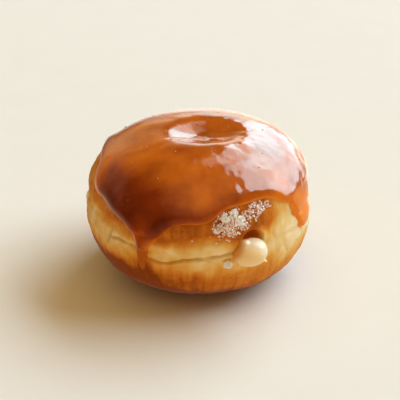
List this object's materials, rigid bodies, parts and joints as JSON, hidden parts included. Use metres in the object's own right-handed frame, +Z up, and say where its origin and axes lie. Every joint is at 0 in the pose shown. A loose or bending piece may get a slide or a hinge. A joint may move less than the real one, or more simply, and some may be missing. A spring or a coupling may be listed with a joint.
{
  "type": "filled doughnut",
  "caption": "Round filled doughnut under caramel glaze with drips, with a pale waist, coarse sugar beside the fill hole and cream bulging out of it.",
  "frame": {"origin": "centre of the flat base that the doughnut rests on", "axes": "+Z up through the crown, -Y towards the side with the fill hole, +X to the right as seen from that side"},
  "size_m": [0.0928, 0.0941, 0.0625],
  "materials": {
    "dough": "matte",
    "glaze": "glossy",
    "cream": "satin"
  },
  "bodies": {
    "root": {"dough": "dough", "glaze": "glaze", "cream": "cream"}
  },
  "joints": []
}
